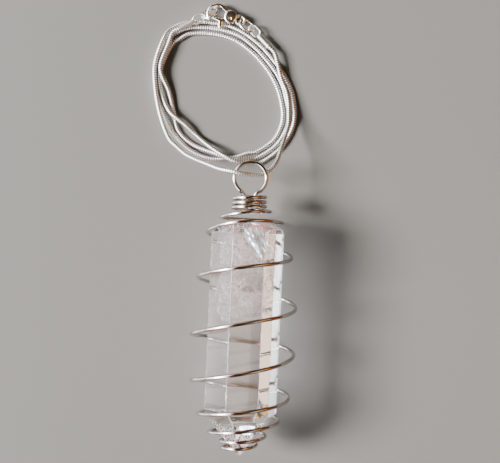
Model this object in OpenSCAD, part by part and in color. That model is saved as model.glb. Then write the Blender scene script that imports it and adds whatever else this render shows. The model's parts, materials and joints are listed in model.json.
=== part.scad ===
// A crystal point in a spiral wire cage, on a closed snake chain, lying on a flat surface.
// Millimetres. Z = 0 is the surface. The pendant's axis runs along Y, with its point towards -Y.

/* [Cage] */
// Outside diameter of the cage where it is widest
cage_d = 28; // [24:0.5:34]
// Diameter of the cage's wire
wire_d = 1; // [0.7:0.05:1.05]
// Outside diameter of the round bail loop
loop_d = 9.3; // [8.6:0.1:12]
// From the middle of the bail loop to the neck's first turn
neck_drop = 4.8; // [4.6:0.1:6]

/* [Crystal] */
// Width of the crystal across its corners
crystal_w = 19; // [14:0.1:19.1]
// Length of the crystal from its flat top to its tip
crystal_len = 60.7; // [50:0.1:70]
// How far the tip stands past the end of the wound wire
tip_out = 1.9; // [1.2:0.1:2]
// From the cage's first turn to the crystal's flat top
crystal_drop = 6.2; // [6.1:0.1:9]
// Length of the six-sided point
point_len = 11.5; // [9:0.5:16]
// How far the tip sinks towards the surface, as the stone lies on the wire
tip_sag = 0.9; // [0:0.1:0.9]

/* [Chain] */
// Diameter of the snake chain
chain_d = 1.2; // [0.8:0.05:1.2]

/* [Chain ends] */
// Length of a crimp cap, without its eye
cap_len = 4.4; // [3.5:0.1:5]
// Diameter of a crimp cap
cap_d = 1.5; // [1.3:0.05:1.6]
// Diameter of the wire of a cap's eye
eye_wire = 0.5; // [0.35:0.05:0.55]
// Width of a cap's eye, across the middles of its two sides
eye_w = 2.1; // [1.8:0.1:2.4]
// Inside length of a cap's eye
eye_len = 2.9; // [2.85:0.05:3.2]
// Diameter of a jump ring, across the middle of its wire
ring_d = 4.6; // [4.4:0.05:4.65]
// Diameter of a jump ring's wire
ring_wire = 0.6; // [0.4:0.05:0.65]

/* [Clasp] */
// Diameter of the claw's wire
claw_wire = 1; // [0.8:0.05:1.1]
// Diameter of the claw's bend, across the middle of its wire
claw_d = 5; // [4.9:0.1:6]
// Thickness of the clasp's hub
hub_t = 2; // [1.6:0.1:2.1]
// Thickness of the lever
lever_t = 0.8; // [0.6:0.05:1]
// Diameter of the hinge pin
pin_d = 0.6; // [0.4:0.05:0.8]
// Clearance round the lever and its pin
play = 0.1; // [0.06:0.01:0.15]

/* [Hidden] */
$fn = 48;

// The cage's wire at each half turn from the neck: how far along the cage, and how far out
ALONG = 0;
OUT = 1;
half_turns = [
    [0, 0.303], [0.01, 0.304], [0.019, 0.305], [0.028, 0.305], [0.037, 0.306], [0.046, 0.31],
    [0.056, 0.4], [0.086, 0.53], [0.098, 0.64], [0.148, 0.78], [0.236, 0.85], [0.328, 0.92],
    [0.434, 0.968], [0.555, 1], [0.62, 0.968], [0.737, 0.96], [0.791, 0.908], [0.866, 0.808],
    [0.884, 0.73], [0.938, 0.585], [0.948, 0.487], [0.972, 0.355], [0.982, 0.326], [0.998, 0.322],
    [1.008, 0.32]
];

// Where the winding hand pulled the wire aside over the cage's upper side: at which half turn, how
// much nearer the neck it lies than a smooth winding would, and how much further out, in the same
// shares
PULL_AT = 0;
PULL_ALONG = 1;
PULL_OUT = 2;
pulls = [[6.5, 0.008, 0], [8.5, 0.021, 0.075], [10.5, 0.008, 0], [12.5, 0.01, 0]];
steps_per_half = 12;
wire_sides = 10;

// The wound wire is as long as the crystal needs, and its last turns hold the point. The cage rests
// on the surface at the lowest place of its widest turn
cage_len = crystal_drop + crystal_len - tip_out;
cage_r = (cage_d - wire_d) / 2;
lowest_half = 13.5;
right_half = 12;
axis_z = out_at(lowest_half) + wire_d / 2;

// The crystal's six sides, from the one that faces right: how far out each stands, as a share of
// a regular prism's side, how deep the bevel at its flat top goes, as a share of the crystal's
// width, and how far past the tip its face of the point would meet the axis, as a share of the point
SIDE_OUT = 0;
BEVEL = 1;
PAST = 2;
crystal_sides = [
    [1.01, 0.1, 0.08], [0.92, 0.02, 0.06], [1.08, 0.03, 0.02], [0.98, 0.17, 0.08], [0.96, 0.17, 0],
    [1.035, 0.17, 0.04]
];
crystal_turn = -15;
bevel_angle = 58;

// The healed cracks inside the crystal, each a thin flat hollow with round ends: how far along it
// lies, as a share of the crystal's length from its flat top, how far across and up from the axis,
// as shares of its width, then its own length and width in the same shares, and its two slopes
CRACK_ALONG = 0;
CRACK_ACROSS = 1;
CRACK_UP = 2;
CRACK_LEN = 3;
CRACK_WIDTH = 4;
CRACK_TILT = 5;
CRACK_ROLL = 6;
healed_cracks = [
    [0.19, -0.17, 0.23, 0.26, 0.36, 3, 12], [0.12, 0.08, 0.16, 0.2, 0.42, -10, -8],
    [0.22, 0.03, 0.02, 0.28, 0.6, 6, -6], [0.33, -0.16, 0.12, 0.2, 0.4, -7, 10],
    [0.11, -0.05, -0.12, 0.17, 0.5, 12, 5], [0.36, 0.1, 0.26, 0.15, 0.35, -4, -10]
];
crack_t = 0.1;

// Where the chain lies, from the right cap's mouth round the coil and through the bail loop to
// the left cap's mouth, measured from the middle of the bail loop and up from the surface
chain_route = [
    [3.5, 36, 2.2], [5, 34.5, 2.2], [6, 31.5, 2.1], [7, 28, 2], [9, 23, 2],
    [9.5, 16.5, 3.4], [9, 13, 5], [8, 9.5, 7.5], [6.5, 4.5, 11], [4, 1.7, 12.4],
    [1, 1, 13.8], [-2, 1, 15], [-5, 1.5, 15.2], [-8, 2, 14], [-12, 3.5, 11],
    [-14.5, 4.5, 8.2], [-17.5, 6, 5.4], [-20, 8, 3.4], [-22.5, 10.5, 2.2], [-25, 16.5, 1.9],
    [-26.5, 23, 1.9], [-27, 30, 1.9], [-25, 37, 1.9], [-23, 40, 1], [-18.5, 42, 0.6],
    [-11, 42, 0.6], [-5, 40.5, 0.6], [0.5, 37, 0.6], [4.5, 33, 0.6], [8, 28.5, 0.6],
    [10.5, 23, 0.6], [11, 16, 0.6], [8, 9.5, 0.6], [2.5, 5, 0.6], [-1, 5, 2.2],
    [-5, 5, 3.4], [-10.5, 8, 3], [-14.5, 11, 1], [-18, 14, 1.7], [-22.5, 17.5, 2.1],
    [-25, 23, 0.6], [-25.5, 29, 0.6], [-23, 35.5, 0.6], [-20.5, 37.5, 0.6], [-17.5, 39, 0.6],
    [-11, 39, 0.6], [-5.5, 37.5, 0.6], [-1, 34.5, 0.6], [2.5, 31, 0.6], [5, 27.5, 0.6],
    [7, 23, 0.6], [8, 17, 0.6], [6, 11.5, 0.6], [1.5, 8, 0.6], [-1, 7.5, 0.6],
    [-5, 6, 0.6], [-11, 5.5, 0.6], [-16.5, 7.5, 0.6], [-21, 11.5, 0.6], [-24, 17, 0.6],
    [-26.5, 23, 0.6], [-27, 30, 0.6], [-24.5, 36.5, 0.6], [-21.5, 39, 0.6], [-18, 40.5, 0.6],
    [-11, 40.5, 0.6], [-5, 39, 0.6], [-0.5, 36, 0.6], [3.5, 32, 0.6], [6.5, 28, 0.6],
    [8.5, 23, 0.6], [9.5, 16.5, 0.6], [7, 10.5, 0.6], [2, 6.5, 0.6], [-1, 6, 1.3],
    [-5, 5.5, 2.1], [-10.5, 7, 1.6], [-16, 9, 0.8], [-20, 12.5, 0.6], [-21.5, 17.5, 0.6],
    [-23, 23, 1], [-25.5, 29, 2], [-23.5, 36, 2], [-22.5, 38.8, 2.1], [-20.8, 39.8, 2.2]
];
chain_sides = 8;

// The small hardware lies level, held up by the rings that stand leaning in it
hardware_z = chain_route[0][2];
ring_lean = 40;
joint_gap = 0.1;

// The clasp: its tail eye, the way from the tail to the nose, and the places along it. The webs
// that join its wires to the hub are this much inside them all round
clasp_at = [-4.6, 42.8];
clasp_turn = 167;
tail_eye_r = 1.15;
tail_wire = 0.8;
tail_root_r = 1.55;
web_in = 0.1;
hub_at = [2.7, -0.1];
hub_r = 1.75;
pivot_at = [2.7, 0.5];
pivot_r = 0.9;
claw_root_r = 0.6;
claw_root = [3.1, -1];
bend_at = [6.4, 0.1];
bend_from = -110;
bend_to = 52;
ring_in_claw = [6.8, -1.3];

// The lever in plan: its arm from the hub past the thumb tab's root to its tip in the claw
arm_r = 0.55;
lever_tip_r = 0.4;
lever_tip_turn = 45;
lever_reach = (claw_d - claw_wire) / 2 - lever_tip_r - play;
lever_tip = bend_at + lever_reach * [cos(lever_tip_turn), sin(lever_tip_turn)];
tab_root = [5, 1.5];
tab_tip = [4.8, 3.1];
tab_tip_r = 0.6;

// A cap's rim at its mouth and its rounded shoulder
cap_rim = 0.5;
cap_rim_out = 0.1;
cap_shoulder = 0.5;

// Each cap: its mouth on the chain's end, and the way from the mouth to its eye
last_point = len(chain_route) - 1;
cap_left_turn = 30;
cap_right_turn = 135;

// The middle of the whole thing's box, which the model's origin lies under
route_left = min([for (p = chain_route) p[0]]);
box_left = route_left - chain_d / 2;
box_right = out_at(right_half) + wire_d / 2;
clasp_top = in_clasp(bend_at)[1] + (claw_d + claw_wire) / 2;
tip_y = -(neck_drop + crystal_drop + crystal_len * cos(stone_tilt()));
box_mid = [(box_left + box_right) / 2, (clasp_top + tip_y) / 2];

function stone_tilt() = asin(tip_sag / crystal_len);
function turned(p, a) = [p[0] * cos(a) - p[1] * sin(a), p[0] * sin(a) + p[1] * cos(a)];
function in_clasp(p) = clasp_at + turned(p, clasp_turn);
function unit(v) = v / norm(v);
function heading(v) = atan2(v[1], v[0]);

// A smooth value between the rows of the cage's table, at a count of half turns
function row(i) = half_turns[max(0, min(len(half_turns) - 1, i))];
function smooth(a, b, c, d, t) =
    b + t * ((c - a) / 2 + t * (a - 2.5 * b + 2 * c - d / 2 + t * (1.5 * (b - c) + (d - a) / 2)));
function share(h, col) =
    let(i = floor(h))
    smooth(row(i - 1)[col], row(i)[col], row(i + 1)[col], row(i + 2)[col], h - i);
function pulled(h, col) =
    [for (p = pulls) abs(h - p[PULL_AT]) < 0.5 ? p[col] * cos(180 * (h - p[PULL_AT])) ^ 2 : 0]
        * [for (p = pulls) 1];
function out_at(h) = (share(h, OUT) + pulled(h, PULL_OUT)) * cage_r;
function cage_point(h) = [
    out_at(h) * cos(180 * h),
    -neck_drop - (share(h, ALONG) - pulled(h, PULL_ALONG)) * cage_len,
    axis_z + out_at(h) * sin(180 * h)
];

// The bail loop, from its hidden end inside the neck round to where the wire drops behind
loop_r = (loop_d - wire_d) / 2;
loop_from = -62;
loop_to = 232;
loop_steps = 32;
join_steps = 9;
join_pull = 7;
coil_start = -0.5;
coil_end = 23.5;
function loop_point(a) = [loop_r * cos(a), loop_r * sin(a), axis_z];
function join_point(t) =
    let(
        a = loop_point(loop_to),
        b = cage_point(coil_start),
        da = join_pull * [-sin(loop_to), cos(loop_to), 0],
        db = join_pull * [1, -0.1, 0]
    )
    (2 * t ^ 3 - 3 * t ^ 2 + 1) * a + (t ^ 3 - 2 * t ^ 2 + t) * da
        + (3 * t ^ 2 - 2 * t ^ 3) * b + (t ^ 3 - t ^ 2) * db;

cage_path = [
    for (i = [0:loop_steps]) loop_point(loop_from + (loop_to - loop_from) * i / loop_steps),
    for (i = [1:join_steps - 1]) join_point(i / join_steps),
    for (i = [0:round((coil_end - coil_start) * steps_per_half)])
        cage_point(coil_start + i / steps_per_half)
];

// A round wire along a path: each ring of points is turned as little as the path lets it
function path_dir(path, i) =
    unit(path[min(i + 1, len(path) - 1)] - path[max(i - 1, 0)]);
function across(v, dir) = unit(v - (v * dir) * dir);
function sides_of(path, i, side) =
    i == len(path) ? [] : let(s = across(side, path_dir(path, i))) concat([s], sides_of(path, i + 1, s));

module sweep_wire(path, d, sides, first_side) {
    n = len(path);
    s = sides_of(path, 0, first_side);
    points = [
        for (i = [0:n - 1])
            let(t = cross(path_dir(path, i), s[i]))
            for (k = [0:sides - 1])
                path[i] + d / 2 * (cos(360 * k / sides) * s[i] + sin(360 * k / sides) * t)
    ];
    faces = concat(
        [[for (k = [0:sides - 1]) k]],
        [
            for (i = [0:n - 2])
                for (k = [0:sides - 1])
                    let(a = i * sides + k, b = i * sides + (k + 1) % sides)
                    each [[b + sides, b, a], [a + sides, b + sides, a]]
        ],
        [[for (k = [sides - 1:-1:0]) (n - 1) * sides + k]]
    );
    polyhedron(points, faces);
}

// Everything is drawn from the middle of the bail loop, then moved over the model's origin
module place() {
    translate([-box_mid[0], -box_mid[1], 0])
        children();
}

module torus(d, wire) {
    rotate_extrude()
        translate([d / 2, 0])
            circle(d = wire);
}

// A flat bar with round ends, between two places
module bar(a, ra, b, rb, t) {
    v = b - a;
    lean = heading(v) + acos((ra - rb) / norm(v));
    fall = heading(v) - acos((ra - rb) / norm(v));
    translate([0, 0, -t / 2])
        linear_extrude(t) {
            translate(a) circle(ra);
            translate(b) circle(rb);
            polygon([
                a + ra * [cos(lean), sin(lean)], b + rb * [cos(lean), sin(lean)],
                b + rb * [cos(fall), sin(fall)], a + ra * [cos(fall), sin(fall)]
            ]);
        }
}

// A slanted cut, away from the crystal's axis from a place on it
module slant(at, angle) {
    reach = 2 * crystal_w;
    translate([0, 0, at])
        rotate([0, angle, 0])
            translate([0, -reach, -reach])
                cube([reach, 2 * reach, 2 * reach]);
}

// The crystal's prism, seen along its axis: the way each side faces, how far out it stands, and
// the corner where it meets the next one
regular_side = crystal_w / 2 * cos(30);
function side_turn(i) = crystal_turn + 30 + 60 * i;
function side_out(i) = crystal_sides[i % 6][SIDE_OUT] * regular_side;
function prism_corner(i) =
    turned([side_out(i), (side_out(i + 1) - side_out(i) / 2) / cos(30)], side_turn(i));

module healed_crack(c) {
    width = c[CRACK_WIDTH] * crystal_w;
    half = (c[CRACK_LEN] * crystal_len - width) / 2;
    translate([c[CRACK_ACROSS] * crystal_w, c[CRACK_UP] * crystal_w, c[CRACK_ALONG] * crystal_len])
        rotate([90 + c[CRACK_TILT], 0, c[CRACK_ROLL]])
            bar([0, -half], width / 2, [0, half], width / 2, crack_t);
}

module stone_shape() {
    point_angle = atan(regular_side / point_len);
    difference() {
        linear_extrude(crystal_len)
            polygon([for (i = [0:5]) prism_corner(i)]);
        for (i = [0:5]) {
            rotate([0, 0, side_turn(i)]) {
                slant(crystal_len + crystal_sides[i][PAST] * point_len, -point_angle);
                slant(crystal_sides[i][BEVEL] * crystal_w - side_out(i) / tan(bevel_angle), bevel_angle);
            }
        }
        for (c = healed_cracks)
            healed_crack(c);
    }
}

module crystal() {
    color("gainsboro", 0.6)
        place()
            translate([0, -neck_drop - crystal_drop, axis_z])
                rotate([90 + stone_tilt(), 0, 0])
                    stone_shape();
}

module cage_wire() {
    color("silver")
        place()
            sweep_wire(cage_path, wire_d, wire_sides, [0, 0, 1]);
}

module chain() {
    color("lightgray")
        place()
            sweep_wire(chain_route, chain_d, chain_sides, [0, 0, 1]);
}

// A crimp cap along X: a rim at its mouth, a barrel, a shoulder and a wire eye
module cap_shape() {
    half = eye_w / 2;
    rim_r = cap_d / 2 + cap_rim_out;
    eye_start = cap_len - cap_shoulder / 2 + half;
    eye_end = cap_len + eye_len + eye_wire / 2 - half;
    rotate([90, 0, 90])
        rotate_extrude()
            polygon([
                [0, joint_gap], [rim_r, joint_gap], [rim_r, cap_rim],
                [cap_d / 2, cap_rim + cap_rim_out], [cap_d / 2, cap_len - cap_shoulder],
                [cap_d / 4, cap_len], [0, cap_len]
            ]);
    // The eye: one loop of wire, its near end sunk in the shoulder
    for (side = [-1, 1])
        translate([eye_start, side * half, 0])
            rotate([0, 90, 0])
                cylinder(d = eye_wire, h = eye_end - eye_start);
    for (end = [[eye_start, 90], [eye_end, -90]])
        translate([end[0], 0, 0])
            rotate([0, 0, end[1]])
                rotate_extrude(angle = 180)
                    translate([half, 0])
                        circle(d = eye_wire);
}

module end_cap(at, turn) {
    color("silver")
        place()
            translate(at)
                rotate([0, 0, turn])
                    cap_shape();
}

module end_cap_left() {
    end_cap(chain_route[last_point], cap_left_turn);
}

module end_cap_right() {
    end_cap(chain_route[0], cap_right_turn);
}

// A jump ring that stands on its edge and leans to one side, from one place towards another
module jump_ring(from, towards, side) {
    way = unit(towards - from);
    mid = from + way * ring_d / 2;
    color("silver")
        place()
            translate([mid[0], mid[1], hardware_z])
                rotate([0, 0, heading(way)])
                    rotate([90 - side * ring_lean, 0, 0])
                        torus(ring_d, ring_wire);
}

function cap_back(at, turn) = [at[0], at[1]] + cap_len * [cos(turn), sin(turn)];

module jump_ring_left() {
    jump_ring(in_clasp(ring_in_claw), cap_back(chain_route[last_point], cap_left_turn), 1);
}

module jump_ring_right() {
    jump_ring(clasp_at, cap_back(chain_route[0], cap_right_turn), -1);
}

module clasp_frame() {
    place()
        translate([clasp_at[0], clasp_at[1], hardware_z])
            rotate([0, 0, clasp_turn])
                children();
}

module clasp_body() {
    bend_start = bend_at + claw_d / 2 * [cos(bend_from), sin(bend_from)];
    color("silver")
        clasp_frame()
            difference() {
                union() {
                    torus(2 * tail_eye_r, tail_wire);
                    bar(
                        [tail_eye_r, 0], tail_wire / 2 - web_in, hub_at, tail_root_r,
                        tail_wire - 2 * web_in
                    );
                    translate([hub_at[0], hub_at[1], -hub_t / 2])
                        cylinder(r = hub_r, h = hub_t);
                    bar(claw_root, claw_root_r, bend_start, claw_wire / 2 - web_in, claw_wire - 2 * web_in);
                    translate([bend_at[0], bend_at[1], 0])
                        rotate([0, 0, bend_from])
                            rotate_extrude(angle = bend_to - bend_from)
                                translate([claw_d / 2, 0])
                                    circle(d = claw_wire);
                }
                // The slot that the lever swings in, and the bore for its pin
                translate([pivot_at[0] - pivot_r - play, pivot_at[1] - pivot_r - play, -lever_t / 2 - play])
                    cube([2 * hub_r, 2 * hub_r, lever_t + 2 * play]);
                translate([pivot_at[0], pivot_at[1], -hub_t])
                    cylinder(d = pin_d, h = 2 * hub_t);
            }
}

module clasp_lever() {
    color("lightgray")
        clasp_frame()
            difference() {
                union() {
                    bar(pivot_at, pivot_r, tab_root, arm_r, lever_t);
                    bar(tab_root, arm_r, lever_tip, lever_tip_r, lever_t);
                    bar(tab_root, arm_r, tab_tip, tab_tip_r, lever_t);
                }
                translate([pivot_at[0], pivot_at[1], -lever_t])
                    cylinder(d = pin_d + 2 * play, h = 2 * lever_t);
            }
}

module clasp_pin() {
    color("darkgray")
        clasp_frame()
            translate([pivot_at[0], pivot_at[1], -hub_t / 2])
                cylinder(d = pin_d, h = hub_t);
}

crystal();
cage_wire();
chain();
end_cap_left();
end_cap_right();
jump_ring_left();
jump_ring_right();
clasp_body();
clasp_lever();
clasp_pin();
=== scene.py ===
"""A clear quartz point in a silver wire cage, on a snake chain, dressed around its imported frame."""

import json
import math
import random

import bmesh
import bpy
import numpy as np
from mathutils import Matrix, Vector, kdtree, noise


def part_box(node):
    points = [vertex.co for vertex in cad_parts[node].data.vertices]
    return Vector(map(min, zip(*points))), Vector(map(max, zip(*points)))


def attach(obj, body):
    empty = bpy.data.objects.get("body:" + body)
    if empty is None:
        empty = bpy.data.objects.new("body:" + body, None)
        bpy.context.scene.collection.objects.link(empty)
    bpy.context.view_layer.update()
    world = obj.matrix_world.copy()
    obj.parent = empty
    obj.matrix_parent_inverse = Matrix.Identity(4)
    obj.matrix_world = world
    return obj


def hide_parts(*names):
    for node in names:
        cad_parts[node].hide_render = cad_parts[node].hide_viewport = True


bl_info = {
    "name": "Crystal Point Pendant",
    "version": (1, 0, 0),
    "blender": (4, 5, 0),
    "location": "View3D > Sidebar > Pendant",
    "description": "Dresses a quartz point, its wire cage, snake chain and clasp around their frame",
    "category": "Object",
}

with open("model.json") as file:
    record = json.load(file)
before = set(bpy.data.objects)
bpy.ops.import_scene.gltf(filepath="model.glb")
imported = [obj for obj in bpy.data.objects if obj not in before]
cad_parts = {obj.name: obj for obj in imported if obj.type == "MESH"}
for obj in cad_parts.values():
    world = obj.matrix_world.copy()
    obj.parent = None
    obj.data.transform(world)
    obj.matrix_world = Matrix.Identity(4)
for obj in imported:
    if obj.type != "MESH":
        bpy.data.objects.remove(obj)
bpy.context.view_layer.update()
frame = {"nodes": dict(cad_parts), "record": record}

MM = 0.001
BAIL_MIDDLE = Vector(frame["record"]["mounts"][0]["pos_m"])

# The chain's way from the right cap's mouth round the coil and through the bail loop to the left
# cap's mouth, in metres from under the middle of the bail loop, as the frame's chain has it
CHAIN_ROUTE = [
    (0.0035, 0.036, 0.0022), (0.005, 0.0345, 0.0022), (0.006, 0.0315, 0.0021), (0.007, 0.028, 0.002),
    (0.009, 0.023, 0.002), (0.0095, 0.0165, 0.0034), (0.009, 0.013, 0.005), (0.008, 0.0095, 0.0075),
    (0.0065, 0.0045, 0.011), (0.004, 0.0017, 0.0124), (0.001, 0.001, 0.0138), (-0.002, 0.001, 0.015),
    (-0.005, 0.0015, 0.0152), (-0.008, 0.002, 0.014), (-0.012, 0.0035, 0.011), (-0.0145, 0.0045, 0.0082),
    (-0.0175, 0.006, 0.0054), (-0.02, 0.008, 0.0034), (-0.0225, 0.0105, 0.0022), (-0.025, 0.0165, 0.0019),
    (-0.0265, 0.023, 0.0019), (-0.027, 0.03, 0.0019), (-0.025, 0.037, 0.0019), (-0.023, 0.04, 0.001),
    (-0.0185, 0.042, 0.0006), (-0.011, 0.042, 0.0006), (-0.005, 0.0405, 0.0006), (0.0005, 0.037, 0.0006),
    (0.0045, 0.033, 0.0006), (0.008, 0.0285, 0.0006), (0.0105, 0.023, 0.0006), (0.011, 0.016, 0.0006),
    (0.008, 0.0095, 0.0006), (0.0025, 0.005, 0.0006), (-0.001, 0.005, 0.0022), (-0.005, 0.005, 0.0034),
    (-0.0105, 0.008, 0.003), (-0.0145, 0.011, 0.001), (-0.018, 0.014, 0.0017), (-0.0225, 0.0175, 0.0021),
    (-0.025, 0.023, 0.0006), (-0.0255, 0.029, 0.0006), (-0.023, 0.0355, 0.0006), (-0.0205, 0.0375, 0.0006),
    (-0.0175, 0.039, 0.0006), (-0.011, 0.039, 0.0006), (-0.0055, 0.0375, 0.0006), (-0.001, 0.0345, 0.0006),
    (0.0025, 0.031, 0.0006), (0.005, 0.0275, 0.0006), (0.007, 0.023, 0.0006), (0.008, 0.017, 0.0006),
    (0.006, 0.0115, 0.0006), (0.0015, 0.008, 0.0006), (-0.001, 0.0075, 0.0006), (-0.005, 0.006, 0.0006),
    (-0.011, 0.0055, 0.0006), (-0.0165, 0.0075, 0.0006), (-0.021, 0.0115, 0.0006), (-0.024, 0.017, 0.0006),
    (-0.0265, 0.023, 0.0006), (-0.027, 0.03, 0.0006), (-0.0245, 0.0365, 0.0006), (-0.0215, 0.039, 0.0006),
    (-0.018, 0.0405, 0.0006), (-0.011, 0.0405, 0.0006), (-0.005, 0.039, 0.0006), (-0.0005, 0.036, 0.0006),
    (0.0035, 0.032, 0.0006), (0.0065, 0.028, 0.0006), (0.0085, 0.023, 0.0006), (0.0095, 0.0165, 0.0006),
    (0.007, 0.0105, 0.0006), (0.002, 0.0065, 0.0006), (-0.001, 0.006, 0.0013), (-0.005, 0.0055, 0.0021),
    (-0.0105, 0.007, 0.0016), (-0.016, 0.009, 0.0008), (-0.02, 0.0125, 0.0006), (-0.0215, 0.0175, 0.0006),
    (-0.023, 0.023, 0.001), (-0.0255, 0.029, 0.002), (-0.0235, 0.036, 0.002), (-0.0225, 0.0388, 0.0021),
    (-0.0208, 0.0398, 0.0022),
]

# The cage's wire at each half turn from the neck: how far along the cage, as a share of its length,
# and how far out, as a share of its widest turn's radius
HALF_TURNS = [
    (0, 0.303), (0.01, 0.304), (0.019, 0.305), (0.028, 0.305), (0.037, 0.306), (0.046, 0.31),
    (0.056, 0.4), (0.086, 0.53), (0.098, 0.64), (0.148, 0.78), (0.236, 0.85), (0.328, 0.92),
    (0.434, 0.968), (0.555, 1), (0.62, 0.968), (0.737, 0.96), (0.791, 0.908), (0.866, 0.808),
    (0.884, 0.73), (0.938, 0.585), (0.948, 0.487), (0.972, 0.355), (0.982, 0.326), (0.998, 0.322),
    (1.008, 0.32),
]
# Where the winding hand pulled the wire aside over the upper side: at which half turn, how much
# nearer the neck it lies than a smooth winding would, and how much further out, in the same shares
PULLS = [(6.5, 0.008, 0), (8.5, 0.021, 0.075), (10.5, 0.008, 0), (12.5, 0.01, 0)]


def linear(hex_colour):
    """An sRGB hex colour as linear red, green, blue and alpha."""
    parts = [int(hex_colour[i:i + 2], 16) / 255 for i in (1, 3, 5)]
    return [c / 12.92 if c <= 0.04045 else ((c + 0.055) / 1.055) ** 2.4 for c in parts] + [1.0]


def smooth_between(a, b, c, d, t):
    """The smooth curve's value between b and c, with a and d as their neighbours."""
    rise = a - b * 2.5 + c * 2 - d * 0.5
    return b + ((c - a) * 0.5 + (rise + ((b - c) * 1.5 + (d - a) * 0.5) * t) * t) * t


def smooth_path(points, steps):
    """The smooth curve through the points, with some steps between each two."""
    ends = [points[0], *points, points[-1]]
    path = [
        smooth_between(*ends[i:i + 4], step / steps)
        for i in range(len(points) - 1)
        for step in range(steps)
    ]
    return path + [points[-1]]


def path_frames(path):
    """At each place of a path: its direction, and a side that turns as little as the path lets it."""
    forward, sides = [], []
    side = Vector((0, 0, 1))
    for i in range(len(path)):
        along = (path[min(i + 1, len(path) - 1)] - path[max(i - 1, 0)]).normalized()
        side = (side - along * side.dot(along)).normalized()
        forward.append(along)
        sides.append(side)
    return forward, sides


def ring_faces(rings, sides):
    """The faces of a closed tube whose rings of points follow one another, with a face at each end."""
    faces = [
        (i * sides + k, i * sides + (k + 1) % sides, (i + 1) * sides + (k + 1) % sides, (i + 1) * sides + k)
        for i in range(rings - 1)
        for k in range(sides)
    ]
    return [tuple(reversed(range(sides)))] + faces + [tuple(range((rings - 1) * sides, rings * sides))]


def add_piece(name, mesh, material, body, slot, *nodes):
    """Puts a finished mesh into the scene as a piece that rides a body and stands for its nodes."""
    piece = bpy.data.objects.new(name, mesh)
    bpy.context.scene.collection.objects.link(piece)
    mesh.materials.clear()
    mesh.materials.append(material)
    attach(piece, body)
    if nodes:
        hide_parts(*nodes)
    return piece


def mesh_from(name, points, faces, smooth=True):
    """A mesh from its points and faces, shaded smooth or flat."""
    mesh = bpy.data.meshes.new(name)
    mesh.from_pydata([tuple(p) for p in points], [], faces)
    mesh.update()
    mesh.polygons.foreach_set("use_smooth", [smooth] * len(mesh.polygons))
    return mesh


# Materials

# A finger's smudge on the quartz, and its growth lines' spacing, length and depth
SMUDGE = 4 * MM
GROWTH_LINE = 0.7 * MM
GROWTH_LINE_LENGTH = 25 * MM
GROWTH_LINE_DEPTH = 0.02 * MM
# The folds of a veil, how far they carry its bubbles, and how large a cloud of bubbles is
VEIL_FOLD = 3.5 * MM
VEIL_DRIFT = 2.5 * MM
VEIL_CLOUD = 1.5 * MM
# How deep the marks of handling are in silver, and how large they are on each kind of piece
SCRATCH_DEPTH = 0.01 * MM
WIRE_MARKS = 1.5 * MM
RING_MARKS = 0.8 * MM
CAST_MARKS = 0.9 * MM
CAP_MARKS = 0.6 * MM
# How much rougher the quartz is where it is smudged, and the silver where its marks are worst
SMUDGE_ROUGHER = 0.05
WIRE_WEAR = 0.06
RING_WEAR = 0.12
CAST_WEAR = 0.1


def add_node(tree, kind, inputs=None, **settings):
    """Adds one node, sets its settings, and gives each input its value or the output that feeds it."""
    made = tree.nodes.new(kind)
    for name, value in settings.items():
        setattr(made, name, value)
    for socket, value in (inputs or {}).items():
        if isinstance(value, bpy.types.NodeSocket):
            tree.links.new(value, made.inputs[socket])
        else:
            made.inputs[socket].default_value = value
    return made


def start_material(name, **constants):
    """A new material with one main shader, its constant sockets set, and its tree."""
    material = bpy.data.materials.new(name)
    material.use_nodes = True
    tree = material.node_tree
    tree.nodes.clear()
    shader = add_node(tree, "ShaderNodeBsdfPrincipled", constants)
    add_node(tree, "ShaderNodeOutputMaterial", {"Surface": shader.outputs["BSDF"]})
    return material, tree, shader


def natural_quartz(settings):
    """Clear rock crystal, sawn, ground and polished by hand. Its polish is bright, with faint
    traces of growth lines across the prism that only show in a glancing light."""
    material, tree, shader = start_material(
        "natural_quartz",
        **{
            "Base Color": (*settings.tint, 1.0),
            "IOR": settings.ior,
            "Transmission Weight": 1.0,
        },
    )
    place = add_node(tree, "ShaderNodeTexCoord").outputs["Object"]
    smudges = add_node(
        tree, "ShaderNodeTexNoise",
        {"Vector": place, "Scale": 1 / SMUDGE, "Detail": 4.0, "Roughness": 0.6},
    )
    haze = add_node(
        tree, "ShaderNodeMapRange",
        {"Value": smudges.outputs["Fac"], "From Min": 0.45, "From Max": 0.75,
         "To Min": settings.polish, "To Max": settings.polish + SMUDGE_ROUGHER},
    )
    tree.links.new(haze.outputs["Result"], shader.inputs["Roughness"])
    # Growth lines run round the prism, so they change along Y far more than across it
    stretched = add_node(
        tree, "ShaderNodeVectorMath",
        {0: place, 1: (1 / GROWTH_LINE_LENGTH, 1 / GROWTH_LINE, 1 / GROWTH_LINE_LENGTH)},
        operation="MULTIPLY",
    )
    lines = add_node(
        tree, "ShaderNodeTexNoise",
        {"Vector": stretched.outputs["Vector"], "Scale": 1.0, "Detail": 2.0, "Roughness": 0.5},
    )
    bump = add_node(
        tree, "ShaderNodeBump",
        {"Height": lines.outputs["Fac"], "Strength": 0.06, "Distance": GROWTH_LINE_DEPTH},
    )
    tree.links.new(bump.outputs["Normal"], shader.inputs["Normal"])
    return material


def ground_edge(settings):
    """The quartz's edges, ground off by hand and left frosted: a thin, misty, chipped line."""
    material, _, _ = start_material(
        "ground_quartz_edge",
        **{
            "Base Color": (*settings.edge_colour, 1.0),
            "IOR": settings.ior,
            "Roughness": 0.45,
            "Transmission Weight": 0.6,
        },
    )
    return material


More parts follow.
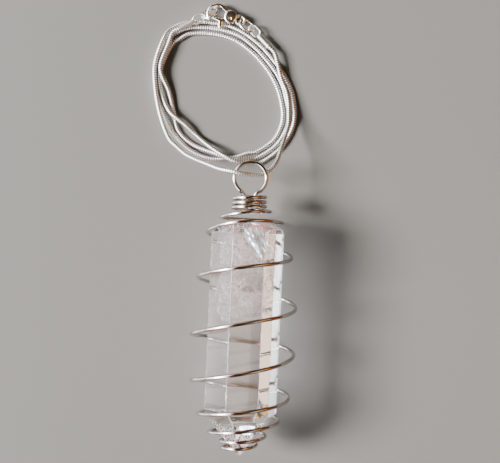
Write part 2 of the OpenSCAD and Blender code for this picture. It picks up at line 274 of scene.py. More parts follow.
def milky_veil(settings):
    """A healed crack inside quartz, full of tiny bubbles: a torn, misty white sheet."""
    material, tree, shader = start_material(
        "milky_veil",
        **{"Base Color": (*settings.veil_colour, 1.0), "Roughness": 0.7, "Specular IOR Level": 0.1},
    )
    place = add_node(tree, "ShaderNodeTexCoord").outputs["Object"]
    folds = add_node(
        tree, "ShaderNodeTexNoise",
        {"Vector": place, "Scale": 1 / VEIL_FOLD, "Detail": 3.0},
    )
    warped = add_node(
        tree, "ShaderNodeVectorMath",
        {0: folds.outputs["Color"], 1: (VEIL_DRIFT,) * 3, 2: place}, operation="MULTIPLY_ADD",
    )
    cloud = add_node(
        tree, "ShaderNodeTexNoise",
        {"Vector": warped.outputs["Vector"], "Scale": 1 / VEIL_CLOUD, "Detail": 8.0, "Roughness": 0.7},
    )
    thin = add_node(
        tree, "ShaderNodeMapRange",
        {"Value": cloud.outputs["Fac"], "From Min": 0.42, "From Max": 0.72,
         "To Min": 0.0, "To Max": settings.veil_density},
    )
    tree.links.new(thin.outputs["Result"], shader.inputs["Alpha"])
    return material


def fracture_glint(settings):
    """A fresh cleft inside quartz: slivers of air that mirror the light, bluish white."""
    material, _, _ = start_material(
        "fracture_glint",
        **{"Base Color": (*settings.glint_colour, 1.0), "Roughness": 0.3, "Metallic": 0.35,
           "Alpha": 0.95},
    )
    return material


def silver_plate(name, colour, roughness, marks_size, wear):
    """Bright silver over copper or brass, with the fine marks of handling, which break up what it
    mirrors. wear is how much rougher it is where the marks are worst."""
    material, tree, shader = start_material(
        name, **{"Base Color": (*colour, 1.0), "Metallic": 1.0},
    )
    place = add_node(tree, "ShaderNodeTexCoord").outputs["Object"]
    marks = add_node(
        tree, "ShaderNodeTexNoise",
        {"Vector": place, "Scale": 1 / marks_size, "Detail": 5.0, "Roughness": 0.65},
    )
    worn = add_node(
        tree, "ShaderNodeMapRange",
        {"Value": marks.outputs["Fac"], "From Min": 0.35, "From Max": 0.7,
         "To Min": roughness, "To Max": roughness + wear},
    )
    tree.links.new(worn.outputs["Result"], shader.inputs["Roughness"])
    bump = add_node(
        tree, "ShaderNodeBump",
        {"Height": marks.outputs["Fac"], "Strength": 0.15, "Distance": SCRATCH_DEPTH},
    )
    tree.links.new(bump.outputs["Normal"], shader.inputs["Normal"])
    return material


def groove_painted_shade(settings):
    """Painted shade in the grooves between the chain's rings: dull silver in a dark grey that stands for
    the shade falling there.
    """
    material, _, _ = start_material(
        "silver_groove_painted_shade",
        **{"Base Color": (*settings.groove_shade_colour, 1.0), "Metallic": 1.0, "Roughness": 0.5},
    )
    return material


# Settings

class QuartzSettings(bpy.types.PropertyGroup):
    """The quartz point and what shows inside it."""
    tint: bpy.props.FloatVectorProperty(
        name="Tint", description="Colour of the clear quartz", subtype="COLOR", size=3,
        default=linear("#FBF8F8")[:3], min=0, max=1,
    )
    ior: bpy.props.FloatProperty(
        name="Index of refraction", description="How strongly the quartz bends light", default=1.544,
        min=1.0, max=2.5,
    )
    polish: bpy.props.FloatProperty(
        name="Polish", description="Roughness of the polished faces", default=0.012, min=0, max=1,
    )
    chip: bpy.props.FloatProperty(
        name="Edge chips", description="Depth of the deepest chips along the edges", subtype="DISTANCE",
        unit="LENGTH", default=0.3 * MM, min=0, max=1 * MM,
    )
    edge: bpy.props.FloatProperty(
        name="Edge width", description="Width of the ground edges", subtype="DISTANCE",
        unit="LENGTH", default=0.05 * MM, min=0.02 * MM, max=0.5 * MM,
    )
    edge_colour: bpy.props.FloatVectorProperty(
        name="Edge colour", description="Colour of the frosted edges", subtype="COLOR", size=3,
        default=linear("#FBFBFC")[:3], min=0, max=1,
    )
    veil_colour: bpy.props.FloatVectorProperty(
        name="Veil colour", description="Colour of the milky veils", subtype="COLOR", size=3,
        default=linear("#E2D2CD")[:3], min=0, max=1,
    )
    veil_density: bpy.props.FloatProperty(
        name="Veil density", description="How much the thickest veil hides", default=0.9, min=0, max=1,
    )
    glint_colour: bpy.props.FloatVectorProperty(
        name="Glint colour", description="Colour of the cleft's slivers", subtype="COLOR", size=3,
        default=linear("#EEF6F8")[:3], min=0, max=1,
    )


class WireSettings(bpy.types.PropertyGroup):
    """The round wire of the cage and the bail loop."""
    colour: bpy.props.FloatVectorProperty(
        name="Colour", description="Colour of the plated wire", subtype="COLOR", size=3,
        default=linear("#B4AAA3")[:3], min=0, max=1,
    )
    diameter: bpy.props.FloatProperty(
        name="Diameter", description="Diameter of the wire", subtype="DISTANCE", unit="LENGTH",
        default=1 * MM, min=0.5 * MM, max=1.2 * MM,
    )
    roughness: bpy.props.FloatProperty(
        name="Roughness", description="Roughness of the bright drawn wire", default=0.07, min=0, max=1,
    )


class ChainSettings(bpy.types.PropertyGroup):
    """The snake chain's pressed rings."""
    colour: bpy.props.FloatVectorProperty(
        name="Colour", description="Colour of the plated chain", subtype="COLOR", size=3,
        default=linear("#F4F1EC")[:3], min=0, max=1,
    )
    diameter: bpy.props.FloatProperty(
        name="Diameter", description="Diameter of the chain", subtype="DISTANCE", unit="LENGTH",
        default=1.2 * MM, min=0.8 * MM, max=2 * MM,
    )
    pitch: bpy.props.FloatProperty(
        name="Pitch", description="Length of chain that each ring takes", subtype="DISTANCE",
        unit="LENGTH", default=0.62 * MM, min=0.3 * MM, max=1 * MM,
    )
    groove: bpy.props.FloatProperty(
        name="Groove", description="Depth of the groove between two rings", subtype="DISTANCE",
        unit="LENGTH", default=0.13 * MM, min=0, max=0.3 * MM,
    )
    # The grooves' dark grey is painted shade between the chain's rings
    groove_shade_colour: bpy.props.FloatVectorProperty(
        name="Groove colour", description="Colour of the oxidised grooves", subtype="COLOR", size=3,
        default=linear("#4F4A44")[:3], min=0, max=1,
    )
    roughness: bpy.props.FloatProperty(
        name="Roughness", description="Roughness of the pressed rings", default=0.28, min=0, max=1,
    )
    wave: bpy.props.FloatProperty(
        name="Wave", description="How far each ring's edge waves along the chain", subtype="DISTANCE",
        unit="LENGTH", default=0.1 * MM, min=0, max=0.3 * MM,
    )


class FittingSettings(bpy.types.PropertyGroup):
    """The clasp, the jump rings and the caps."""
    colour: bpy.props.FloatVectorProperty(
        name="Colour", description="Colour of the plated fittings", subtype="COLOR", size=3,
        default=linear("#EDE8E0")[:3], min=0, max=1,
    )
    roughness: bpy.props.FloatProperty(
        name="Roughness", description="Roughness of the tumbled fittings", default=0.1, min=0, max=1,
    )
    cap_roughness: bpy.props.FloatProperty(
        name="Cap roughness", description="Roughness of the drawn caps", default=0.3, min=0, max=1,
    )


class StageSettings(bpy.types.PropertyGroup):
    """The surface, the lights and the camera."""
    floor_colour: bpy.props.FloatVectorProperty(
        name="Floor colour", description="Colour of the plain surface", subtype="COLOR", size=3,
        default=linear("#918E89")[:3], min=0, max=1,
    )
    camera_height: bpy.props.FloatProperty(
        name="Camera height", description="Height of the camera above the surface", subtype="DISTANCE",
        unit="LENGTH", default=295 * MM, min=0.1, max=2,
    )
    lens: bpy.props.FloatProperty(
        name="Lens", description="Focal length on a 36 mm wide sensor", default=78.48, min=20, max=200,
    )
    key_power: bpy.props.FloatProperty(
        name="Key light", description="Strength of the large light on the left", unit="POWER",
        default=260.0, min=0, max=1000,
    )


# The quartz point

# Points of the frame's stone that lie nearer than this are one
WELD = 0.005 * MM
# An edge chips at most once in each such stretch, and the higher the power the rarer a deep chip
CHIP_STEP = 0.7 * MM
CHIP_POWER = 5
CHIP_SEED = 3
# The area above which a face is one of the stone's own, and not of a ground edge
BIG_FACE = 1.5 * MM * MM


def split_evenly(edge, step):
    """Cuts a straight edge into stretches of about one step."""
    count = max(1, round(edge.calc_length() / step))
    start = edge.verts[0]
    for left in range(count, 1, -1):
        _, start = bmesh.utils.edge_split(edge, start, 1 / left)


def drop_inner_shells(made):
    """Leaves only the outside of a solid: the shell that reaches its lowest place along Y."""
    shell = {min(made.verts, key=lambda vertex: vertex.co.y)}
    edge_of_shell = set(shell)
    while edge_of_shell:
        edge_of_shell = {
            edge.other_vert(vertex) for vertex in edge_of_shell for edge in vertex.link_edges
        } - shell
        shell |= edge_of_shell
    bmesh.ops.delete(made, geom=[v for v in made.verts if v not in shell], context="VERTS")


def quartz_mesh(settings):
    """The frame's point with its edges ground and chipped, and its large faces left dead flat."""
    draw = random.Random(CHIP_SEED)
    made = bmesh.new()
    made.from_mesh(frame["nodes"]["crystal"].data)
    bmesh.ops.remove_doubles(made, verts=made.verts, dist=WELD)
    drop_inner_shells(made)
    bmesh.ops.dissolve_limit(made, angle_limit=math.radians(1), verts=made.verts, edges=made.edges)
    for edge in list(made.edges):
        split_evenly(edge, CHIP_STEP)
    bmesh.ops.bevel(
        made, geom=made.verts[:] + made.edges[:], offset=settings.edge, offset_type="OFFSET",
        segments=1, profile=0.5, affect="EDGES", clamp_overlap=True,
    )
    for vertex in made.verts:
        flats = [loop for loop in vertex.link_loops if loop.face.calc_area() > BIG_FACE]
        if len(flats) == 1:
            loop = flats[0]
            along = (loop.link_loop_next.vert.co - loop.link_loop_prev.vert.co).normalized()
            inward = loop.face.normal.cross(along)
            vertex.co += inward * settings.chip * draw.random() ** CHIP_POWER
    mesh = bpy.data.meshes.new("quartz_point")
    made.to_mesh(mesh)
    made.free()
    return mesh


# The healed cracks, as the frame's stone has them: how far along it each lies, as a share of its
# length, how far across and up from its axis, as shares of its width, its own length and width in
# the same shares, and its slopes along and across the stone, in degrees
HEALED_CRACKS = [
    (0.19, -0.17, 0.23, 0.26, 0.36, 3, 12), (0.12, 0.08, 0.16, 0.2, 0.42, -10, -8),
    (0.22, 0.03, 0.02, 0.28, 0.6, 6, -6), (0.33, -0.16, 0.12, 0.2, 0.4, -7, 10),
    (0.11, -0.05, -0.12, 0.17, 0.5, 12, 5), (0.36, 0.1, 0.26, 0.15, 0.35, -4, -10),
]
# The frame's stone, and in how many steps each veil's sheet is made each way
STONE_LENGTH = 60.7 * MM
STONE_WIDTH = 19 * MM
CRACK_STEPS = 26
# How far a veil's sheet ripples, over what distance, and how far apart two sheets read the noise
RIPPLE = 0.7 * MM
RIPPLE_LENGTH = 4 * MM
RIPPLE_APART = 20 * MM


def veil_mesh():
    """The veils as one mesh of thin curved sheets, one along each healed crack."""
    stone_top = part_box("crystal")[1].y
    points, faces = [], []
    for number, (along, across, up, length, width, tilt, roll) in enumerate(HEALED_CRACKS):
        start = len(points)
        middle = Vector((
            BAIL_MIDDLE.x + across * STONE_WIDTH, stone_top - along * STONE_LENGTH,
            BAIL_MIDDLE.z + up * STONE_WIDTH,
        ))
        slopes = math.tan(math.radians(roll)), math.tan(math.radians(tilt))
        for i in range(CRACK_STEPS + 1):
            for k in range(CRACK_STEPS + 1):
                # A square grid drawn in to a round outline
                u, v = 2 * i / CRACK_STEPS - 1, 2 * k / CRACK_STEPS - 1
                x = u * math.sqrt(1 - v * v / 2) * width * STONE_WIDTH / 2
                y = v * math.sqrt(1 - u * u / 2) * length * STONE_LENGTH / 2
                ripple = noise.noise(Vector((x, y, number * RIPPLE_APART)) / RIPPLE_LENGTH) * RIPPLE
                points.append(middle + Vector((x, y, x * slopes[0] + y * slopes[1] + ripple)))
        for i in range(CRACK_STEPS):
            for k in range(CRACK_STEPS):
                a = start + i * (CRACK_STEPS + 1) + k
                faces.append((a, a + CRACK_STEPS + 1, a + CRACK_STEPS + 2, a + 1))
    return mesh_from("milky_veils", points, faces)


# Slivers of the cleft, in bands, in millimetres: the band's start and end seen from above and its
# height, how wide it is, how many slivers it has, and how long the longest are
CLEFTS = [
    ((6.6, -1.2), (10.4, -7.6), 20.6, 1.3, 110, 2.4),
    ((8.6, -0.8), (12.4, -7.2), 19.8, 1.3, 34, 2.6),
    ((8.6, -9.2), (11.4, -12.6), 19.8, 2.6, 30, 0.9),
    ((11.3, -19.6), (12.5, -20.8), 17.5, 1.4, 10, 0.7),
]
SLIVER_SEED = 11
# How far the slivers turn from their band's direction, in radians, and lie off its middle, in
# millimetres up and as a share of its width across
SLIVER_TURN = 0.12
SLIVER_OFF_UP = 0.5
SLIVER_OFF_ACROSS = 1 / 3
# A sliver's length as a share of the longest, its width as a share of its length, and how far its
# ends and sides are tipped out of the level
SLIVER_LENGTHS = (0.25, 1)
SLIVER_WIDTHS = (0.12, 0.3)
SLIVER_LEAN = 0.35
SLIVER_TIP = (0.45, 0.3)


def cleft_mesh():
    """Every sliver as a thin, flat, pointed plate, lying near its band's direction."""
    draw = random.Random(SLIVER_SEED)
    points, faces = [], []
    for (x0, y0), (x1, y1), height, width, count, length in CLEFTS:
        along = Vector((x1 - x0, y1 - y0, 0))
        reach = along.length
        along.normalize()
        across = Vector((-along.y, along.x, 0))
        for _ in range(count):
            turn = draw.gauss(0, SLIVER_TURN)
            way = along * math.cos(turn) + across * math.sin(turn)
            middle = (
                Vector((x0, y0, height)) + along * draw.uniform(0, reach)
                + across * draw.gauss(0, width * SLIVER_OFF_ACROSS)
                + Vector((0, 0, draw.gauss(0, SLIVER_OFF_UP)))
            )
            half = length * draw.uniform(*SLIVER_LENGTHS) / 2
            wide = half * draw.uniform(*SLIVER_WIDTHS)
            lean = Vector((0, 0, draw.gauss(0, SLIVER_LEAN) * half))
            # Most slivers face the window, and a few lie dark
            side = across * wide + Vector((0, 0, draw.gauss(*SLIVER_TIP) * wide))
            start = len(points)
            for corner in (-way * half - lean, side, way * half + lean, -side):
                points.append((middle + corner) * MM)
            faces.append((start, start + 1, start + 2, start + 3))
    return mesh_from("cleft_slivers", points, faces, smooth=False)


# The cage

# The cage's outside, the frame's wire, and how far from the bail loop's middle the coil starts
CAGE_WIDTH = 28 * MM
CAGE_LENGTH = 65 * MM
FRAME_WIRE = 1 * MM
NECK_DROP = 4.8 * MM
# The bail loop: its outside, the angles that it runs between, and how its end bends into the coil
LOOP_OUTSIDE = 9.3 * MM
LOOP_FROM, LOOP_TO = math.radians(-62), math.radians(232)
LOOP_STEPS = 48
JOIN_STEPS = 16
JOIN_PULL = 7 * MM
# The wire's first end, tucked into the neck under its first turn, from the bail loop's middle
TUCKED_END = Vector((1.3, -5.1, -0.2)) * MM
TUCK_STEPS = 8
TUCK_PULL = 1.6 * MM
# The half turns that the coil starts and ends at, how finely it is made, and the wire's sides
COIL_START, COIL_END = -0.5, 23.5
STEPS_PER_HALF = 24
WIRE_SIDES = 18
# How far the wire's cut ends are crowned, and how wide the crown's flat is, in wire diameters
CROWN_HEIGHT = 0.25
CROWN_RADIUS = 0.3


def bend(start, start_way, end, end_way, t):
    """A place on the smooth bend between two places, which leaves the first and meets the second
    along the ways given for them."""
    return (
        start * (2 * t ** 3 - 3 * t ** 2 + 1) + start_way * (t ** 3 - 2 * t ** 2 + t)
        + end * (3 * t ** 2 - 2 * t ** 3) + end_way * (t ** 3 - t ** 2)
    )


def wire_path(diameter):
    """The middle of the wire, from the loop's hidden end in the neck to the end of the last coil."""
    cage_r = (CAGE_WIDTH - FRAME_WIRE) / 2
    loop_r = (LOOP_OUTSIDE - diameter) / 2
    last = len(HALF_TURNS) - 1

    def share(turns, column):
        low = math.floor(turns)
        near = [HALF_TURNS[max(0, min(last, low + k))][column] for k in (-1, 0, 1, 2)]
        return smooth_between(*near, turns - low)

    def pulled(turns, column):
        return sum(
            pull[column] * math.cos(math.pi * (turns - pull[0])) ** 2
            for pull in PULLS
            if abs(turns - pull[0]) < 0.5
        )

    def coil(turns):
        out = (share(turns, 1) + pulled(turns, 2)) * cage_r
        angle = math.pi * turns
        along = -NECK_DROP - (share(turns, 0) - pulled(turns, 1)) * CAGE_LENGTH
        return BAIL_MIDDLE + Vector((out * math.cos(angle), along, out * math.sin(angle)))

    def loop(angle):
        return BAIL_MIDDLE + Vector((math.cos(angle), math.sin(angle), 0)) * loop_r

    def loop_way(angle):
        return Vector((-math.sin(angle), math.cos(angle), 0))

    tucked = BAIL_MIDDLE + TUCKED_END
    tucked_way = Vector((0, 1, 0)) * TUCK_PULL
    coil_way = Vector((1, -0.1, 0)) * JOIN_PULL
    path = [
        bend(tucked, tucked_way, loop(LOOP_FROM), loop_way(LOOP_FROM) * TUCK_PULL, i / TUCK_STEPS)
        for i in range(TUCK_STEPS)
    ]
    path += [loop(LOOP_FROM + (LOOP_TO - LOOP_FROM) * i / LOOP_STEPS) for i in range(LOOP_STEPS + 1)]
    path += [
        bend(loop(LOOP_TO), loop_way(LOOP_TO) * JOIN_PULL, coil(COIL_START), coil_way, i / JOIN_STEPS)
        for i in range(1, JOIN_STEPS)
    ]
    count = round((COIL_END - COIL_START) * STEPS_PER_HALF)
    return path + [coil(COIL_START + i / STEPS_PER_HALF) for i in range(count + 1)]


def wire_mesh(diameter):
    """The round wire, with its two cut ends slightly rounded."""
    path = wire_path(diameter)
    forward, sides = path_frames(path)
    rings = [(*ring, diameter / 2) for ring in zip(path, forward, sides)]

    def crown(ring, outwards):
        place, way, side, _ = ring
        return place + way * outwards * CROWN_HEIGHT * diameter, way, side, CROWN_RADIUS * diameter

    rings = [crown(rings[0], -1), *rings, crown(rings[-1], 1)]
    points = []
    for place, way, side, radius in rings:
        up = way.cross(side)
        for k in range(WIRE_SIDES):
            angle = 2 * math.pi * k / WIRE_SIDES
            points.append(place + (side * math.cos(angle) + up * math.sin(angle)) * radius)
    return mesh_from("cage_wire_round", points, ring_faces(len(rings), WIRE_SIDES))


# The snake chain

# How many pieces the chain is made in, its sides, and its steps between two points of its route
CHAIN_PIECES = 4
CHAIN_SIDES = 24
PATH_STEPS = 12
# One ring of the chain: shares of its pitch, and shares of the groove's depth. Its first and last
# rows of faces are the walls of the grooves, which carry the painted shade
RING_PROFILE = [(0.0, 1.0), (0.2, 0.12), (0.5, 0.0), (0.8, 0.12)]
SHADED_GROOVE_ROWS = (0, 3)
# How often the ring's edge waves on its way round, and over how many rings the wave dies out at
# the chain's ends
WAVES = 4
FADE_RINGS = 2


def chain_meshes(settings):
    """The chain as rings pressed into one another, each with a waved edge, in a few long pieces."""
    foot = Vector((BAIL_MIDDLE.x, BAIL_MIDDLE.y, 0))
    path = [p + foot for p in smooth_path([Vector(p) for p in CHAIN_ROUTE], PATH_STEPS)]
    forward, sides = path_frames(path)
    place, way, side = (np.array([tuple(v) for v in rows]) for rows in (path, forward, sides))
    gone = np.concatenate([[0], np.cumsum(np.linalg.norm(np.diff(place, axis=0), axis=1))])
    count = round(gone[-1] / settings.pitch)
    pitch = gone[-1] / count
    angle = 2 * np.pi * np.arange(CHAIN_SIDES) / CHAIN_SIDES
    wave = settings.wave * np.cos(WAVES * angle)

    def at(distance, rows):
        return np.stack([np.interp(distance, gone, rows[:, k]) for k in range(3)], axis=-1)

    meshes = []
    for number in range(CHAIN_PIECES):
        low, high = number * count // CHAIN_PIECES, (number + 1) * count // CHAIN_PIECES
        stations = [(i + share) * pitch for i in range(low, high) for share, _ in RING_PROFILE]
        depths = [depth for _ in range(low, high) for _, depth in RING_PROFILE]
        stations.append(high * pitch)
        depths.append(RING_PROFILE[0][1])
        fade = np.minimum(1, np.minimum(stations, gone[-1] - np.array(stations)) / (FADE_RINGS * pitch))
        distance = np.array(stations)[:, None] + wave[None, :] * np.maximum(fade, 0)[:, None]
        radius = settings.diameter / 2 - settings.groove * np.array(depths)
        across = at(distance, side)
        along = at(distance, way)
        along /= np.linalg.norm(along, axis=-1, keepdims=True)
        across -= along * np.sum(across * along, axis=-1, keepdims=True)
        across /= np.linalg.norm(across, axis=-1, keepdims=True)
        other = np.cross(along, across)
        turned = across * np.cos(angle)[None, :, None] + other * np.sin(angle)[None, :, None]
        points = at(distance, place) + turned * radius[:, None, None]
        meshes.append(mesh_from(
            f"snake_chain_{number + 1}", points.reshape(-1, 3).tolist(),
            ring_faces(len(stations), CHAIN_SIDES),
        ))
    return meshes


# The fittings

# The voxels that the cast pieces are rebuilt from, and how often their corners are smoothed
CAST_VOXEL = 0.07 * MM
CAST_PASSES = 40
# The clasp's hub: its radius, how high it is domed, how level its flat is, and how far down it goes
HUB_RADIUS = 1.75 * MM
HUB_CROWN = 0.25 * MM
HUB_LEVEL = 0.02 * MM
HUB_DEPTH = 0.5 * MM


def crown_hub(mesh):
    """Domes the clasp's flat hub, its highest face, a little, as a cast hub is."""
    top = max(vertex.co.z for vertex in mesh.vertices)
    flat = [vertex.co for vertex in mesh.vertices if vertex.co.z > top - HUB_LEVEL]
    x = (min(place.x for place in flat) + max(place.x for place in flat)) / 2
    y = (min(place.y for place in flat) + max(place.y for place in flat)) / 2
    for vertex in mesh.vertices:
        off = math.hypot(vertex.co.x - x, vertex.co.y - y) / HUB_RADIUS
        if off < 1 and vertex.co.z > top - HUB_DEPTH:
            vertex.co.z += HUB_CROWN * (1 - off * off)


# How far in from the lever's rim its faces round over, and by how much of its thickness
LEVER_ROUND = 0.5 * MM
LEVER_WORN = 0.65
# The lever's rim is where its surface faces less than this much up or down
RIM_UPWARD = 0.7


def round_lever(mesh):
    """Thins the flat lever towards its rim all round, so that its arms are crowned as cast ones are."""
    height = [vertex.co.z for vertex in mesh.vertices]
    middle = (min(height) + max(height)) / 2
    rim = [vertex.co for vertex in mesh.vertices if abs(vertex.normal.z) < RIM_UPWARD]
    near = kdtree.KDTree(len(rim))
    for number, place in enumerate(rim):
        near.insert((place.x, place.y, 0), number)
    near.balance()
    inward = [near.find((vertex.co.x, vertex.co.y, 0))[2] for vertex in mesh.vertices]
    for vertex, distance in zip(mesh.vertices, inward):
        out = 1 - min(distance / LEVER_ROUND, 1)
        vertex.co.z = middle + (vertex.co.z - middle) * (1 - LEVER_WORN * (1 - math.sqrt(1 - out * out)))


def rounded_copy(node, name):
    """A frame node's own shape with its corners melted to fillets, as cast and tumbled metal has."""
    piece = bpy.data.objects.new(name, frame["nodes"][node].data.copy())
    bpy.context.scene.collection.objects.link(piece)
    remesh = piece.modifiers.new("Skin", "REMESH")
    remesh.mode = "VOXEL"
    remesh.voxel_size = CAST_VOXEL
    remesh.use_smooth_shade = True
    smooth = piece.modifiers.new("Fillets", "SMOOTH")
    smooth.factor = 0.5
    smooth.iterations = CAST_PASSES
    bpy.context.view_layer.update()
    evaluated = piece.evaluated_get(bpy.context.evaluated_depsgraph_get())
    mesh = bpy.data.meshes.new_from_object(evaluated)
    bpy.data.objects.remove(piece)
    mesh.name = name
    return mesh


# The stage

FLOOR_SIZE = 3.0
# The place that the camera looks down on, how far it is turned, its sensor, and the nearest it sees
CAMERA_OVER = (7.483 * MM, -1.509 * MM)
CAMERA_TURN = math.radians(2.476)
SENSOR_WIDTH = 36
NEAREST = 10 * MM


def make_floor(settings):
    """A plain, pale laminate top with a satin face, which mirrors the window softly at a low angle."""
    material, _, _ = start_material(
        "pale_satin_laminate",
        **{"Base Color": (*settings.floor_colour, 1.0), "Roughness": 0.3, "Specular IOR Level": 0.6},
    )
    half = FLOOR_SIZE / 2
    corners = [(-half, -half, 0), (half, -half, 0), (half, half, 0), (-half, half, 0)]
    mesh = mesh_from("floor", corners, [(0, 1, 2, 3)])
    mesh.materials.append(material)
    floor = bpy.data.objects.new("floor", mesh)
    bpy.context.scene.collection.objects.link(floor)


# Each soft light: its name, where it stands, its two sides, its share of the key's power and its colour
LIGHTS = [
    ("window", (-2.38, 0.0, 1.82), (0.8, 1.1), 1.0, "#FFFFFF"),
    ("fill", (1.33, -1.9, 1.9), (1.9, 1.9), 0.02, "#FFF6EE"),
]


def make_lights(settings):
    """Large soft lights that look at the middle of the piece."""
    for name, place, size, share, colour in LIGHTS:
        lamp = bpy.data.lights.new(name, "AREA")
        lamp.shape = "RECTANGLE"
        lamp.size, lamp.size_y = size
        lamp.energy = settings.key_power * share
        lamp.color = linear(colour)[:3]
        light = bpy.data.objects.new(name, lamp)
        light.location = place
        light.rotation_euler = (-Vector(place)).to_track_quat("-Z", "Y").to_euler()
        bpy.context.scene.collection.objects.link(light)


# What the room sends from each way: the way it comes from, how far its middle and its soft edge
# reach from there, how much narrower it is in height than across, its colour and its strength
SKY_PATCHES = [
    ((-1.0, 0.15, 0.5), 0.35, 0.85, 1.6, "#E8F3FF", 14.0),
    ((-0.59, -0.59, 0.56), 0.18, 0.38, 1.2, "#E8F3FF", 17.0),
    ((-0.4, -0.85, 0.3), 0.2, 0.48, 1.3, "#E46F68", 3.6),
    ((-0.15, 0.84, 0.51), 0.12, 0.3, 1.2, "#E9A75C", 1.8),
    ((-0.29, 0.95, 0.1), 0.1, 0.25, 1.2, "#F3D8D2", 2.5),
    ((0.0, 0.0, 1.0), 0.15, 0.45, 1.0, "#C99A6B", 0.25),
    ((0.7, 0.1, 0.66), 0.12, 0.42, 1.2, "#F2B868", 2.4),
    ((0.95, -0.1, 0.3), 0.1, 0.4, 1.3, "#E0633C", 1.8),
    ((0.5, -0.2, 0.82), 0.12, 0.3, 1.0, "#E8CCBA", 2.6),
]
SKY_BASE = "#3A3027"


def make_sky(scene):
    """A dim room with a bright window side and warm walls, as what the metal and the quartz mirror.
    The surface is lit by the lamps alone, which gives the piece one soft shadow, to its right."""
    world = bpy.data.worlds.new("studio")
    world.use_nodes = True
    scene.world = world
    world.cycles_visibility.diffuse = False
    tree = world.node_tree
    tree.nodes.clear()
    way = add_node(tree, "ShaderNodeTexCoord").outputs["Generated"]
    colour = linear(SKY_BASE)
    for towards, middle, edge, squash, patch_colour, strength in SKY_PATCHES:
        off = add_node(
            tree, "ShaderNodeVectorMath",
            {0: way, 1: Vector(towards).normalized()}, operation="SUBTRACT",
        )
        shaped = add_node(
            tree, "ShaderNodeVectorMath",
            {0: off.outputs["Vector"], 1: (1, 1, squash)}, operation="MULTIPLY",
        )
        far = add_node(tree, "ShaderNodeVectorMath", {0: shaped.outputs["Vector"]}, operation="LENGTH")
        amount = add_node(
            tree, "ShaderNodeMapRange",
            {"Value": far.outputs["Value"], "From Min": edge, "From Max": middle,
             "To Min": 0.0, "To Max": 1.0},
            interpolation_type="SMOOTHSTEP",
        )
        bright = [c * strength for c in linear(patch_colour)[:3]] + [1.0]
        mix = add_node(
            tree, "ShaderNodeMix",
            {"Factor": amount.outputs["Result"], "A": colour, "B": bright}, data_type="RGBA",
        )
        colour = mix.outputs["Result"]
    background = add_node(tree, "ShaderNodeBackground", {"Color": colour, "Strength": 1.0})
    add_node(tree, "ShaderNodeOutputWorld", {"Surface": background.outputs["Background"]})


def make_camera(scene):
    """The camera looks straight down, turned a little, as the photograph was taken."""
    settings = scene.pendant_stage
    lens = bpy.data.cameras.new("camera")
    lens.sensor_width = SENSOR_WIDTH
    lens.lens = settings.lens
    lens.clip_start = NEAREST
    camera = bpy.data.objects.new("camera", lens)
    camera.location = (*CAMERA_OVER, settings.camera_height)
    camera.rotation_euler = (0, 0, CAMERA_TURN)
    scene.collection.objects.link(camera)
    scene.camera = camera


# How often light may bounce in the stone
MOST_BOUNCES = 24


def follow_light(scene):
    """Light that is caught in the stone's point needs many mirrorings to find its way out again."""
    scene.cycles.max_bounces = MOST_BOUNCES
    scene.cycles.glossy_bounces = MOST_BOUNCES
    scene.cycles.transmission_bounces = MOST_BOUNCES


# The operators

class PENDANT_OT_quartz(bpy.types.Operator):
    """Make the quartz point, with its veils and the cleft inside it"""
    bl_idname = "pendant.quartz"
    bl_label = "Quartz point"

    def execute(self, context):
        settings = context.scene.pendant_quartz
        clear = natural_quartz(settings)
        stone = add_piece("quartz_point", quartz_mesh(settings), clear, "necklace", "quartz", "crystal")
        stone.data.materials.append(ground_edge(settings))
        for face in stone.data.polygons:
            face.material_index = 0 if face.area > BIG_FACE else 1
        add_piece("milky_veils", veil_mesh(), milky_veil(settings), "necklace", "quartz")
        add_piece("cleft_slivers", cleft_mesh(), fracture_glint(settings), "necklace", "quartz")
        return {"FINISHED"}


class PENDANT_OT_cage(bpy.types.Operator):
    """Wind the wire cage with its bail loop"""
    bl_idname = "pendant.cage"
    bl_label = "Wire cage"

    def execute(self, context):
        settings = context.scene.pendant_wire
        material = silver_plate(
            "plated_drawn_wire", settings.colour, settings.roughness, WIRE_MARKS, WIRE_WEAR,
        )
        mesh = wire_mesh(settings.diameter)
        add_piece("cage_wire_round", mesh, material, "necklace", "plated_wire", "cage_wire")
        return {"FINISHED"}


class PENDANT_OT_chain(bpy.types.Operator):
    """Lay the snake chain along its route"""
    bl_idname = "pendant.chain"
    bl_label = "Snake chain"

    def execute(self, context):
        settings = context.scene.pendant_chain
        material = silver_plate(
            "plated_pressed_rings", settings.colour, settings.roughness, RING_MARKS, RING_WEAR,
        )
        # The groove walls are painted a dark grey as the shade between the rings
        groove = groove_painted_shade(settings)
        per_ring = len(RING_PROFILE) * CHAIN_SIDES
        for mesh in chain_meshes(settings):
            add_piece(mesh.name, mesh, material, "necklace", "snake_chain", "chain")
            mesh.materials.append(groove)
            # One face closes the tube's first end, and then the rings' faces follow row by row; the groove
            # rows get the painted shade
            for number, face in enumerate(mesh.polygons):
                row = (number - 1) % per_ring // CHAIN_SIDES
                face.material_index = 1 if row in SHADED_GROOVE_ROWS else 0
        return {"FINISHED"}


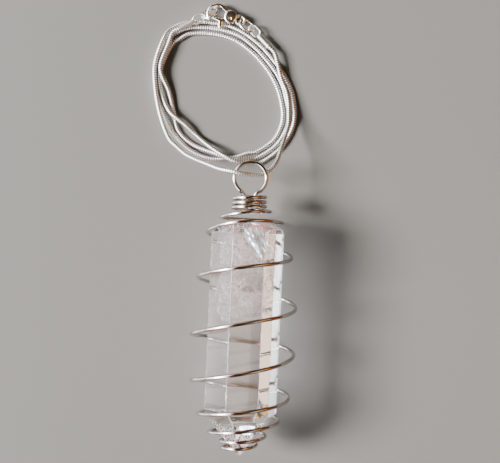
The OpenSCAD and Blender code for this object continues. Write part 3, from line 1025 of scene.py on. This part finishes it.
class PENDANT_OT_fittings(bpy.types.Operator):
    """Finish the clasp, the jump rings and the caps"""
    bl_idname = "pendant.fittings"
    bl_label = "Clasp, rings and caps"

    def execute(self, context):
        settings = context.scene.pendant_fittings
        cast = silver_plate(
            "plated_cast_brass", settings.colour, settings.roughness, CAST_MARKS, CAST_WEAR,
        )
        for node, body in (("clasp_body", "necklace"), ("clasp_lever", "lever")):
            mesh = rounded_copy(node, node + "_cast")
            if node == "clasp_body":
                crown_hub(mesh)
            else:
                round_lever(mesh)
            add_piece(node + "_cast", mesh, cast, body, "fittings", node)
        drawn = silver_plate(
            "plated_drawn_cap", settings.colour, settings.cap_roughness, CAP_MARKS, CAST_WEAR,
        )
        for node in ("clasp_pin", "end_cap_left", "end_cap_right", "jump_ring_left", "jump_ring_right"):
            for slot in frame["nodes"][node].material_slots:
                slot.material = drawn if node.startswith("end_cap") else cast
        return {"FINISHED"}


class PENDANT_OT_stage(bpy.types.Operator):
    """Set the pale surface, the soft lights and the camera"""
    bl_idname = "pendant.stage"
    bl_label = "Stage"

    def execute(self, context):
        make_floor(context.scene.pendant_stage)
        make_lights(context.scene.pendant_stage)
        make_sky(context.scene)
        make_camera(context.scene)
        follow_light(context.scene)
        return {"FINISHED"}


class PENDANT_PT_panel(bpy.types.Panel):
    """Lists the pendant's steps and settings"""
    bl_idname = "PENDANT_PT_panel"
    bl_label = "Crystal Point Pendant"
    bl_space_type = "VIEW_3D"
    bl_region_type = "UI"
    bl_category = "Pendant"

    def draw(self, context):
        for group, operator in STEPS:
            box = self.layout.box()
            settings = getattr(context.scene, group)
            for name in settings.bl_rna.properties.keys():
                if name not in ("rna_type", "name"):
                    box.prop(settings, name)
            box.operator(operator)


SETTINGS = {
    "pendant_quartz": QuartzSettings,
    "pendant_wire": WireSettings,
    "pendant_chain": ChainSettings,
    "pendant_fittings": FittingSettings,
    "pendant_stage": StageSettings,
}
OPERATORS = (
    PENDANT_OT_quartz, PENDANT_OT_cage, PENDANT_OT_chain, PENDANT_OT_fittings, PENDANT_OT_stage,
)
STEPS = [(group, operator.bl_idname) for group, operator in zip(SETTINGS, OPERATORS)]


def register():
    for made in (*SETTINGS.values(), *OPERATORS, PENDANT_PT_panel):
        bpy.utils.register_class(made)
    for name, group in SETTINGS.items():
        setattr(bpy.types.Scene, name, bpy.props.PointerProperty(type=group))


def unregister():
    for name in SETTINGS:
        delattr(bpy.types.Scene, name)
    for made in reversed((*SETTINGS.values(), *OPERATORS, PENDANT_PT_panel)):
        bpy.utils.unregister_class(made)


def main():
    """Makes the whole pendant and its stage."""
    register()
    bpy.ops.pendant.quartz()
    bpy.ops.pendant.cage()
    bpy.ops.pendant.chain()
    bpy.ops.pendant.fittings()
    bpy.ops.pendant.stage()


if __name__ == "__main__":
    main()
